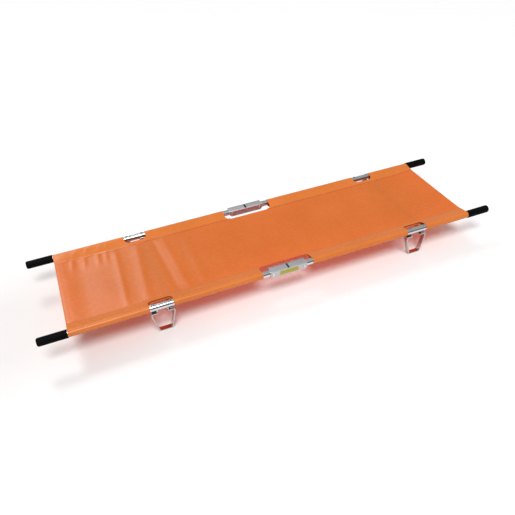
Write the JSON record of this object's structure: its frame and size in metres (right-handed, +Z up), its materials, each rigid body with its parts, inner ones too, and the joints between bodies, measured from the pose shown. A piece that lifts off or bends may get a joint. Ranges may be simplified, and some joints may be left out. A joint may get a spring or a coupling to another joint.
{
  "type": "folding stretcher",
  "caption": "Folding stretcher with a fabric bed on two aluminium poles, rubber grips, bent bar feet, middle hinges and folding spreaders.",
  "frame": {"origin": "on the floor, under the middle of the open stretcher", "axes": "+X along the poles, front side at -Y, +Z up"},
  "size_m": [2.088, 0.5512, 0.1445],
  "materials": {
    "pole_tube": "bright drawn tube, satin",
    "grip_rubber": "matt moulded rubber",
    "hinge_casting": "satin machined casting",
    "rivet_steel": "zinc plated",
    "foot_bar": "polished flat bar",
    "bolt_steel": "dark plated",
    "spacer_nylon": "moulded nylon",
    "spreader_bar": "zinc plated flat bar",
    "bed_fabric": "PVC coated woven fabric, soft sheen",
    "label_film": "printed film",
    "button_nylon": "moulded nylon",
    "spring_steel": "bright spring wire"
  },
  "bodies": {
    "front_left_half": {"front_left_pole": "pole_tube", "front_left_grip": "grip_rubber", "front_left_hinge_nose": "hinge_casting", "front_left_nose_rivets": "rivet_steel", "front_left_foot": "foot_bar", "front_left_foot_bolts": "bolt_steel", "front_left_foot_nuts": "bolt_steel", "front_left_foot_spacers": "spacer_nylon", "front_left_fabric_sleeve": "bed_fabric", "left_fabric_sheet": "bed_fabric"},
    "front_right_half": {"front_right_pole": "pole_tube", "front_right_grip": "grip_rubber", "front_right_hinge_nose": "hinge_casting", "front_right_nose_rivets": "rivet_steel", "front_right_foot": "foot_bar", "front_right_foot_bolts": "bolt_steel", "front_right_foot_nuts": "bolt_steel", "front_right_foot_spacers": "spacer_nylon", "front_right_fabric_sleeve": "bed_fabric", "right_fabric_sheet": "bed_fabric"},
    "front_link": {"front_hinge_link": "hinge_casting", "front_hinge_pins": "rivet_steel", "front_hinge_label": "label_film", "front_lock_rollers": "rivet_steel", "middle_fabric_sheet": "bed_fabric"},
    "front_button": {"front_lock_button": "button_nylon", "front_lock_clip": "bolt_steel", "front_lock_spring": "spring_steel"},
    "rear_left_half": {"rear_left_pole": "pole_tube", "rear_left_grip": "grip_rubber", "rear_left_hinge_nose": "hinge_casting", "rear_left_nose_rivets": "rivet_steel", "rear_left_foot": "foot_bar", "rear_left_foot_bolts": "bolt_steel", "rear_left_foot_nuts": "bolt_steel", "rear_left_foot_spacers": "spacer_nylon", "rear_left_fabric_sleeve": "bed_fabric"},
    "rear_right_half": {"rear_right_pole": "pole_tube", "rear_right_grip": "grip_rubber", "rear_right_hinge_nose": "hinge_casting", "rear_right_nose_rivets": "rivet_steel", "rear_right_foot": "foot_bar", "rear_right_foot_bolts": "bolt_steel", "rear_right_foot_nuts": "bolt_steel", "rear_right_foot_spacers": "spacer_nylon", "rear_right_fabric_sleeve": "bed_fabric"},
    "rear_link": {"rear_hinge_link": "hinge_casting", "rear_hinge_pins": "rivet_steel", "rear_hinge_label": "label_film", "rear_lock_rollers": "rivet_steel"},
    "rear_button": {"rear_lock_button": "button_nylon", "rear_lock_clip": "bolt_steel", "rear_lock_spring": "spring_steel"},
    "left_front_arm": {"left_front_spreader_arm": "spreader_bar", "left_spreader_rivet": "rivet_steel"},
    "left_rear_arm": {"left_rear_spreader_arm": "spreader_bar"},
    "right_front_arm": {"right_front_spreader_arm": "spreader_bar", "right_spreader_rivet": "rivet_steel"},
    "right_rear_arm": {"right_rear_spreader_arm": "spreader_bar"}
  },
  "joints": [
    {"name": "front_left_hinge", "type": "hinge", "parent": "front_left_half", "child": "front_link", "pos_m": [-0.0725, -0.254, 0.127], "axis": [0, 1, 0], "range_deg": [0, 90]},
    {"name": "front_right_hinge", "type": "hinge", "parent": "front_link", "child": "front_right_half", "pos_m": [0.0725, -0.254, 0.127], "axis": [0, 1, 0], "range_deg": [0, 90]},
    {"name": "left_front_arm_pivot", "type": "hinge", "parent": "front_left_half", "child": "left_front_arm", "pos_m": [-0.52, -0.254, 0.127], "axis": [0, 0, -1], "range_deg": [0, 76]},
    {"name": "left_spreader_pivot", "type": "hinge", "parent": "left_front_arm", "child": "left_rear_arm", "pos_m": [-0.52, 0, 0.127], "axis": [0, 0, 1], "range_deg": [0, 152]},
    {"name": "left_rear_arm_pivot", "type": "hinge", "parent": "left_rear_arm", "child": "rear_left_half", "pos_m": [-0.52, 0.254, 0.127], "axis": [0, 0, -1], "range_deg": [0, 76], "deforming": ["left_fabric_sheet", "middle_fabric_sheet", "right_fabric_sheet"]},
    {"name": "rear_left_hinge", "type": "hinge", "parent": "rear_left_half", "child": "rear_link", "pos_m": [-0.0725, 0.254, 0.127], "axis": [0, 1, 0], "range_deg": [0, 90]},
    {"name": "rear_right_hinge", "type": "hinge", "parent": "rear_link", "child": "rear_right_half", "pos_m": [0.0725, 0.254, 0.127], "axis": [0, 1, 0], "range_deg": [0, 90]},
    {"name": "right_front_arm_pivot", "type": "hinge", "parent": "front_right_half", "child": "right_front_arm", "pos_m": [0.68, -0.254, 0.127], "axis": [0, 0, -1], "range_deg": [0, 76]},
    {"name": "right_spreader_pivot", "type": "hinge", "parent": "right_front_arm", "child": "right_rear_arm", "pos_m": [0.68, 0, 0.127], "axis": [0, 0, 1], "range_deg": [0, 152]},
    {"name": "front_button_press", "type": "slide", "parent": "front_link", "child": "front_button", "axis": [0, 0, -1], "range_m": [0, 0.004], "stiffness_N_per_m": 400, "springref_m": -0.004, "deforming": ["front_lock_spring"]},
    {"name": "rear_button_press", "type": "slide", "parent": "rear_link", "child": "rear_button", "axis": [0, 0, -1], "range_m": [0, 0.004], "stiffness_N_per_m": 400, "springref_m": -0.004, "deforming": ["rear_lock_spring"]}
  ],
  "couplings": [
    {"joint": "front_right_hinge", "follows": "front_left_hinge", "ratio": 1},
    {"joint": "rear_left_hinge", "follows": "front_left_hinge", "ratio": 1},
    {"joint": "rear_right_hinge", "follows": "front_left_hinge", "ratio": 1},
    {"joint": "left_front_arm_pivot", "follows": "left_rear_arm_pivot", "ratio": 1},
    {"joint": "left_spreader_pivot", "follows": "left_rear_arm_pivot", "ratio": 2},
    {"joint": "right_front_arm_pivot", "follows": "left_rear_arm_pivot", "ratio": 1},
    {"joint": "right_spreader_pivot", "follows": "left_rear_arm_pivot", "ratio": 2}
  ]
}
